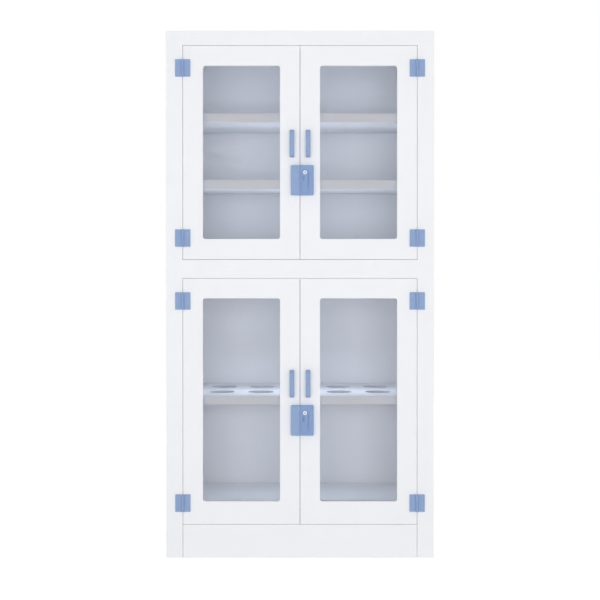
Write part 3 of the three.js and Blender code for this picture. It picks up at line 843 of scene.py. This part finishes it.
class CABINET_OT_hinges(bpy.types.Operator):
    """Build the eight surface hinges: a leaf on the stile, a leaf on the door and the pin through both"""
    bl_idname = "cabinet.hinges"
    bl_label = "Hinges"

    def leaf(self, hinge, part, direction, sizes):
        """One leaf. The stile's leaf has the outer two knuckles, the door's leaf the middle one."""
        pin_low, pin_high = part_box(f"{hinge}_pin")
        low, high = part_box(f"{hinge}_{part}")
        axis = (pin_low + pin_high) / 2
        half = (high.z - low.z) / 2
        knuckle = (2 * half - 2 * sizes.knuckle_gap) / 3
        half_width = high.x - axis.x if direction > 0 else axis.x - low.x
        bore = (pin_high.x - pin_low.x) / 2 + sizes.pin_fit
        radius = axis.y - low.y
        bm = bmesh.new()
        plate, barrel = hinge_section(bm, half_width, radius, bore, high.y - axis.y, sizes)
        if part == "frame_leaf":
            bmesh.ops.translate(bm, verts=bm.verts[:], vec=(0, 0, half))
            ends = push(bm, [plate, *barrel], (0, 0, -knuckle))
            plate = max(ends, key=lambda f: f.calc_center_median().x)
            middle = push(bm, [plate], (0, 0, knuckle - half))
        else:
            middle = [plate, *barrel]
            ends = push(bm, middle, (0, 0, knuckle / 2))
            plate = max(ends, key=lambda f: f.calc_center_median().x)
            push(bm, [plate], (0, 0, half - knuckle / 2))
        bmesh.ops.delete(bm, geom=middle, context="FACES")
        bmesh.ops.mirror(bm, geom=bm.verts[:] + bm.edges[:] + bm.faces[:], matrix=Matrix.Identity(4),
                         merge_dist=MERGE_WITHIN, axis="Z")
        bmesh.ops.remove_doubles(bm, verts=bm.verts[:], dist=MERGE_WITHIN)
        bmesh.ops.recalc_face_normals(bm, faces=bm.faces[:])
        far, tall = half_width - RIM_WITHIN, half - RIM_WITHIN
        corners = [e for e in sharp_edges(bm, SQUARE)
                   if all(v.co.x > far and abs(v.co.z) > tall for v in e.verts)]
        round_edges(bm, corners, sizes.leaf_corner, 5)
        clear = radius + sizes.barrel_gap + RIM_WITHIN
        rims = [e for e in sharp_edges(bm, SQUARE) if e.is_convex and any(v.co.x > clear for v in e.verts)]
        round_edges(bm, rims, sizes.leaf_edge)
        place = Matrix.Translation(axis) @ Matrix.Diagonal((direction, 1, 1, 1))
        bmesh.ops.transform(bm, matrix=place, verts=bm.verts[:])
        return bm

    def execute(self, context):
        sizes = context.scene.hardware_sizes
        for level in LEVELS:
            for side, sign in SIDES.items():
                for place in ("top", "bottom"):
                    door = f"{level}_{side}"
                    hinge = f"{door}_{place}_hinge"
                    blue_piece(f"{hinge}_stile_plate", self.leaf(hinge, "frame_leaf", sign, sizes), "cabinet",
                               f"{hinge}_frame_leaf")
                    blue_piece(f"{hinge}_door_plate", self.leaf(hinge, "door_leaf", -sign, sizes),
                               f"{door}_door", f"{hinge}_door_leaf")
                    low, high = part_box(f"{hinge}_pin")
                    radius = (high.x - low.x) / 2
                    bm = bmesh.new()
                    bmesh.ops.create_cone(bm, cap_ends=True, segments=PIN_SIDES, radius1=radius,
                                          radius2=radius, depth=high.z - low.z,
                                          matrix=Matrix.Translation((low + high) / 2))
                    round_edges(bm, sharp_edges(bm, SQUARE), sizes.pin_round, 4)
                    blue_piece(f"{hinge}_rod", bm, "cabinet", f"{hinge}_pin")
        return {"FINISHED"}


class CABINET_OT_handles(bpy.types.Operator):
    """Build the four bow handles"""
    bl_idname = "cabinet.handles"
    bl_label = "Handles"

    def execute(self, context):
        sizes = context.scene.hardware_sizes
        bend = sizes.handle_bend
        for door in DOORS:
            low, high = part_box(f"{door}_handle")
            bm = bmesh.new()
            foot = front_face(bm, low.x, low.z, high.x, low.z + sizes.handle_bar, high.y,
                              radii=(sizes.handle_round,) * 4)
            ends = push(bm, [foot], (0, low.y + bend - high.y, 0))
            for turn_at, run in ((low.z + bend, (0, 0, high.z - low.z - 2 * bend)),
                                 (high.z - bend, (0, high.y - low.y - bend, 0))):
                made = bmesh.ops.spin(bm, geom=with_rims(ends), cent=(0, low.y + bend, turn_at),
                                      axis=(1, 0, 0), dvec=(0, 0, 0), angle=math.radians(-90),
                                      steps=BEND_STEPS)
                ends = [g for g in made["geom_last"] if isinstance(g, bmesh.types.BMFace)]
                ends = push(bm, ends, run)
            blue_piece(f"{door}_pull", bm, f"{door}_door", f"{door}_handle")
        return {"FINISHED"}


class CABINET_OT_locks(bpy.types.Operator):
    """Build the two locks: case, keeper, key plug and bolt"""
    bl_idname = "cabinet.locks"
    bl_label = "Locks"

    def bolt_pocket(self, bm, wall_x, bolt, fit, depth):
        """Sinks a pocket into the flat wall at wall_x that clears the bolt by a fit."""
        low, high = bolt
        wall = max((f for f in bm.faces if all(abs(v.co.x - wall_x) < WALL_WITHIN for v in f.verts)),
                   key=lambda f: f.calc_area())
        middle = wall.calc_center_median()
        # The inset's corners then move to the pocket's, so any width will do
        bmesh.ops.inset_individual(bm, faces=[wall], thickness=MM)
        for vert in wall.verts:
            vert.co.y = low.y - fit if vert.co.y < middle.y else high.y + fit
            vert.co.z = low.z - fit if vert.co.z < middle.z else high.z + fit
        push(bm, [wall], (depth, 0, 0))

    def case(self, level, sizes):
        """The case on the right door, with its raised strip, groove, notch, plug bore and bolt channel."""
        low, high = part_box(f"{level}_lock_case")
        plug_low, plug_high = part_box(f"{level}_lock_cylinder")
        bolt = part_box(f"{level}_lock_bolt")
        plug = (plug_low + plug_high) / 2
        front = low.y + sizes.boss
        edge = sizes.lock_gap / 2
        square, corner = sizes.lock_square, sizes.lock_corner
        half = sizes.boss_width / 2
        arc = half - ARC_SHORT
        bm = bmesh.new()
        front_rim = front_loop(bm, edge, low.z, high.x, high.z, front, radii=(square, corner, square, corner))
        strip = (plug.x - half, plug.z - sizes.boss_length, plug.x + half, plug.z + half)
        strip_foot = front_loop(bm, *strip, front, radii=(square, square, arc, arc))
        beside = strip[2] + sizes.lock_edge
        groove = front_loop(bm, beside, plug.z - sizes.groove_length, beside + sizes.groove_width,
                            plug.z - sizes.groove_width, front)
        fill(bm, front_rim, strip_foot, groove)
        cap(bm, push_loop(bm, groove, (0, sizes.groove_depth, 0)))
        strip_rim = push_loop(bm, strip_foot, (0, low.y - front, 0))
        cap(bm, push_loop(bm, front_rim, (0, high.y - front, 0)))
        self.bolt_pocket(bm, edge, bolt, sizes.bolt_fit, bolt[1].x + sizes.bolt_fit - edge)
        bore = front_circle(bm, (plug.x, low.y, plug.z), (plug_high.x - plug_low.x) / 2 + sizes.pin_fit)
        notch_top = plug.z - sizes.notch_drop
        notch_left = strip[0] + sizes.notch_side
        notch = front_loop(bm, notch_left, notch_top - sizes.notch_height, notch_left + sizes.notch_width,
                           notch_top, low.y)
        fill(bm, strip_rim, bore, notch)
        cap(bm, push_loop(bm, bore, (0, bolt[0].y - sizes.bore_wall - low.y, 0)))
        cap(bm, push_loop(bm, notch, (0, sizes.notch_depth, 0)))
        round_edges(bm, front_rim, sizes.lock_edge)
        round_edges(bm, strip_rim, sizes.leaf_edge)
        return bm

    def keeper(self, level, sizes):
        """The keeper on the left door, with the mortise that takes the bolt."""
        low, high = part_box(f"{level}_lock_keeper")
        edge = -sizes.lock_gap / 2
        square, corner = sizes.lock_square, sizes.lock_corner
        bm = bmesh.new()
        front_rim = front_loop(bm, low.x, low.z, edge, high.z, low.y, radii=(corner, square, corner, square))
        cap(bm, push_loop(bm, front_rim, (0, high.y - low.y, 0)))
        cap(bm, front_rim)
        self.bolt_pocket(bm, edge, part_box(f"{level}_lock_bolt"), sizes.mortise_fit, -sizes.mortise)
        round_edges(bm, front_rim, sizes.lock_edge)
        return bm

    def slot_face(self, bm, level, depth, sizes):
        """The key slot's outline as a face, so far behind the key plug's front."""
        low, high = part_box(f"{level}_lock_cylinder")
        middle = (low + high) / 2
        wide, tall = sizes.slot_width / 2, sizes.slot_height / 2
        return front_face(bm, middle.x - wide, middle.z - tall, middle.x + wide, middle.z + tall,
                          low.y + depth, radii=(sizes.slot_width * SLOT_ROUND,) * 4, segments=4)

    def plug(self, level, sizes):
        """The key plug, a turned disc with a key slot."""
        low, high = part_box(f"{level}_lock_cylinder")
        middle = (low + high) / 2
        bm = bmesh.new()
        rim = front_circle(bm, (middle.x, low.y, middle.z), (high.x - low.x) / 2)
        slot = outline(bm, self.slot_face(bm, level, 0, sizes))
        fill(bm, rim, slot)
        cap(bm, push_loop(bm, rim, (0, high.y - sizes.plug_back - low.y, 0)))
        cap(bm, push_loop(bm, slot, (0, sizes.slot_depth, 0)))
        round_edges(bm, rim, sizes.leaf_edge)
        return bm

    def ward(self, level, sizes):
        """The ward at the foot of the key slot, dark with painted shade for the shade deep in a keyhole."""
        bm = bmesh.new()
        front = self.slot_face(bm, level, sizes.slot_depth - sizes.ward, sizes)
        push(bm, [front], (0, 2 * sizes.ward, 0))
        return bm

    def execute(self, context):
        sizes = context.scene.hardware_sizes
        base = context.scene.cabinet_colours.case_blue
        case_blue = material_of("polypropylene_moulded_blue_case", blue_polypropylene, base)
        for level in LEVELS:
            finish_piece(f"{level}_lock_body", self.case(level, sizes), case_blue, f"{level}_right_door",
                         "blue_plastic", f"{level}_lock_case")
            blue_piece(f"{level}_lock_strike", self.keeper(level, sizes), f"{level}_left_door",
                       f"{level}_lock_keeper")
            finish_piece(f"{level}_key_disc", self.plug(level, sizes), nickel_plate(), f"{level}_key_plug",
                         "bright_metal", f"{level}_lock_cylinder")
            # The ward's dark colour is painted shade for the depth of the keyhole
            finish_piece(f"{level}_key_ward_painted_shade", self.ward(level, sizes), key_slot_painted_shade(), f"{level}_key_plug",
                         "bright_metal", f"{level}_lock_cylinder")
            bolt = rounded_block(*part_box(f"{level}_lock_bolt"), sizes.bolt_edge, 4)
            finish_piece(f"{level}_lock_tongue", bolt, zinc_plate(), f"{level}_bolt", "bright_metal",
                         f"{level}_lock_bolt")
        return {"FINISHED"}


class CABINET_OT_studio(bpy.types.Operator):
    """Set up the pale floor, the soft light and the camera"""
    bl_idname = "cabinet.studio"
    bl_label = "Studio"

    def seen(self, tree):
        """1 for what the camera sees directly, in a mirror or through glass, otherwise 0."""
        path = node(tree, "ShaderNodeLightPath").outputs
        both = node(tree, "ShaderNodeMath", {0: path["Is Camera Ray"], 1: path["Is Glossy Ray"]},
                    operation="MAXIMUM")
        return node(tree, "ShaderNodeMath", {0: both.outputs["Value"], 1: path["Is Transmission Ray"]},
                    operation="MAXIMUM").outputs["Value"]

    def floor(self, context):
        """A matt painted floor, which shows as plain white but for the cabinet's shadow, and is white in
        mirrors."""
        studio = context.scene.cabinet_studio
        bm = bmesh.new()
        bmesh.ops.create_grid(bm, x_segments=1, y_segments=1, size=FLOOR_REACH)
        mesh = bpy.data.meshes.new("studio_floor")
        bm.to_mesh(mesh)
        bm.free()
        material, tree, output = blank_material("studio_floor_matt_paint")
        lift = node(tree, "ShaderNodeMath", {0: self.seen(tree), 1: studio.glow}, operation="MULTIPLY")
        glow = node(tree, "ShaderNodeEmission", {"Color": PLAIN_WHITE, "Strength": lift.outputs["Value"]})
        paint = node(tree, "ShaderNodeBsdfDiffuse", {"Color": shade(context.scene.cabinet_colours.floor, 1)})
        both = node(tree, "ShaderNodeAddShader", {0: glow.outputs["Emission"], 1: paint.outputs["BSDF"]})
        mirrored = node(tree, "ShaderNodeEmission", {"Color": PLAIN_WHITE, "Strength": 1.0})
        path = node(tree, "ShaderNodeLightPath").outputs
        mixed = node(tree, "ShaderNodeMixShader",
                     {"Fac": path["Is Glossy Ray"], 1: both.outputs["Shader"],
                      2: mirrored.outputs["Emission"]})
        tree.links.new(mixed.outputs["Shader"], output.inputs["Surface"])
        mesh.materials.append(material)
        floor = bpy.data.objects.new("studio_floor", mesh)
        context.scene.collection.objects.link(floor)

    def world(self, context):
        """White all round for the eye, and an even soft light on the cabinet."""
        studio = context.scene.cabinet_studio
        world = bpy.data.worlds.new("studio_white")
        context.scene.world = world
        world.use_nodes = True
        tree = world.node_tree
        tree.nodes.clear()
        level = node(tree, "ShaderNodeMapRange",
                     {"Value": self.seen(tree), "To Min": studio.ambient, "To Max": 1.0})
        light = node(tree, "ShaderNodeBackground",
                     {"Color": PLAIN_WHITE, "Strength": level.outputs["Result"]})
        output = node(tree, "ShaderNodeOutputWorld")
        tree.links.new(light.outputs["Background"], output.inputs["Surface"])

    def lamp(self, context, name, place, target, size, power, tint=(1, 1, 1)):
        """A soft light of a width and a height, aimed at a point."""
        lamp = bpy.data.lights.new(name, "AREA")
        lamp.shape, lamp.energy, lamp.color = "RECTANGLE", power, tint
        lamp.size, lamp.size_y = size
        holder = bpy.data.objects.new(name, lamp)
        context.scene.collection.objects.link(holder)
        holder.location = place
        holder.rotation_euler = (Vector(target) - Vector(place)).to_track_quat("-Z", "Y").to_euler()
        holder.visible_camera = False
        holder.visible_glossy = False

    def around(self, context, studio):
        """Weaker soft lights to the sides, behind and overhead, which leave the front to the key light."""
        middle = (cad_low + cad_high) / 2
        far = studio.round_distance
        size = (studio.round_size, studio.round_size)
        for name, way, power in (("soft_left_light", (-far, studio.round_back, 0), studio.side_light),
                                 ("soft_right_light", (far, studio.round_back, 0), studio.side_light),
                                 ("soft_back_light", (0, far, 0), studio.back_light),
                                 ("soft_top_light", (0, studio.round_back, far), studio.top_light)):
            self.lamp(context, name, middle + Vector(way), middle, size, power)

    def fills(self, context, studio):
        """Weak soft lights in each bay, for the light that comes through the sheets. They shine up in the
        upper bays and down in the lower ones, where two of them stand further back."""
        sheet = context.scene.cabinet_sizes.sheet
        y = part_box("upper_tray")[0].y + 2 * sheet + studio.fill_depth / 2
        rows = [(f"{level}_tray_fill", y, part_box(f"{level}_tray")[0].z + sheet, 1, studio.upper_fill)
                for level in LEVELS]
        rows += [("middle_deck_fill", y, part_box("middle_deck")[1].z, 1, studio.upper_fill),
                 ("over_shelf_fill", y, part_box("middle_deck")[0].z, -1, studio.middle_fill),
                 ("shelf_front_fill", y + studio.shelf_fill_back,
                  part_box("perforated_shelf")[1].z + studio.shelf_fill_height, -1, studio.shelf_fill),
                 ("deck_front_fill", y + studio.deck_fill_back,
                  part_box("bottom_deck")[1].z + studio.deck_fill_height, -1, studio.deck_fill)]
        for name, depth, z, up, power in rows:
            place = Vector((0, depth, z + up * MM))
            self.lamp(context, name, place, place + Vector((0, 0, up)),
                      (studio.fill_width, studio.fill_depth), power, studio.fill_colour)

    def execute(self, context):
        studio = context.scene.cabinet_studio
        self.floor(context)
        self.world(context)
        self.lamp(context, "soft_front_light", (0, -studio.key_front, studio.key_height),
                  (0, 0, studio.key_aim), (studio.key_width, studio.key_rise), studio.key)
        self.around(context, studio)
        self.fills(context, studio)
        face_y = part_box("face_frame")[0].y
        lens = bpy.data.cameras.new("front_camera")
        lens.sensor_width, lens.lens, lens.shift_y = FILM_WIDTH, studio.lens, studio.shift
        camera = bpy.data.objects.new("front_camera", lens)
        camera.location = (0, face_y - studio.distance, studio.eye_height)
        camera.rotation_euler = (math.pi / 2 - studio.tilt, 0, 0)
        context.scene.collection.objects.link(camera)
        context.scene.camera = camera
        context.scene.view_settings.view_transform = "Standard"
        return {"FINISHED"}


class CABINET_PT_panel(bpy.types.Panel):
    """Lists the cabinet's pieces in the order that they are built"""
    bl_label = "Glass Door Cabinet"
    bl_idname = "CABINET_PT_panel"
    bl_space_type = "VIEW_3D"
    bl_region_type = "UI"
    bl_category = "Cabinet"

    def draw(self, context):
        for operator in OPERATORS:
            self.layout.operator(operator.bl_idname)
        for group in GROUPS:
            settings = getattr(context.scene, group)
            column = self.layout.column()
            for name in settings.__annotations__:
                column.prop(settings, name)


OPERATORS = (
    CABINET_OT_front_frame,
    CABINET_OT_kick_panel,
    CABINET_OT_shell,
    CABINET_OT_decks,
    CABINET_OT_trays,
    CABINET_OT_drilled_shelf,
    CABINET_OT_doors,
    CABINET_OT_meeting_beads,
    CABINET_OT_glazing,
    CABINET_OT_hinges,
    CABINET_OT_handles,
    CABINET_OT_locks,
    CABINET_OT_studio,
)
GROUPS = {
    "cabinet_sizes": CabinetSizes,
    "hardware_sizes": HardwareSizes,
    "cabinet_colours": CabinetColours,
    "cabinet_studio": StudioSettings,
}


def register():
    for cls in (*GROUPS.values(), *OPERATORS, CABINET_PT_panel):
        bpy.utils.register_class(cls)
    for name, group in GROUPS.items():
        setattr(bpy.types.Scene, name, PointerProperty(type=group))


def unregister():
    for name in GROUPS:
        delattr(bpy.types.Scene, name)
    for cls in (CABINET_PT_panel, *reversed(OPERATORS), *reversed(GROUPS.values())):
        bpy.utils.unregister_class(cls)


def main():
    register()
    for operator in OPERATORS:
        group, name = operator.bl_idname.split(".")
        getattr(getattr(bpy.ops, group), name)()


if __name__ == "__main__":
    main()
